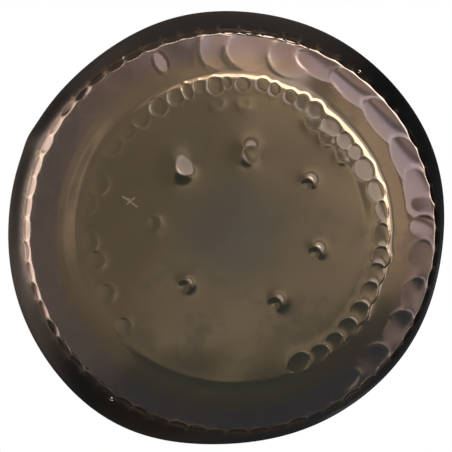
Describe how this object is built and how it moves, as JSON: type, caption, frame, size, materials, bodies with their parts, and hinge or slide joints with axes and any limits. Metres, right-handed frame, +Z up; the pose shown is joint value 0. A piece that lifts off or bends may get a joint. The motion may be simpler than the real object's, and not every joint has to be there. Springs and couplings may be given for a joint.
{
  "type": "gong",
  "caption": "Hammered bronze gong with a raised centre, a sloping band and a turned-back rim drilled for a hanging cord.",
  "frame": {"origin": "centre of the gong's bounding box, on its axis and halfway between the front of the face and the back edge", "axes": "+X to the right of someone facing the gong, +Y out of its open back, +Z up towards the upper pair of hanging holes"},
  "size_m": [0.5622, 0.0494, 0.5518],
  "materials": {
    "bronze": "hammered bronze under a dull brown patina, darker on the rim, bare metal on the ridges"
  },
  "bodies": {
    "root": {"gong": "bronze"}
  },
  "joints": []
}
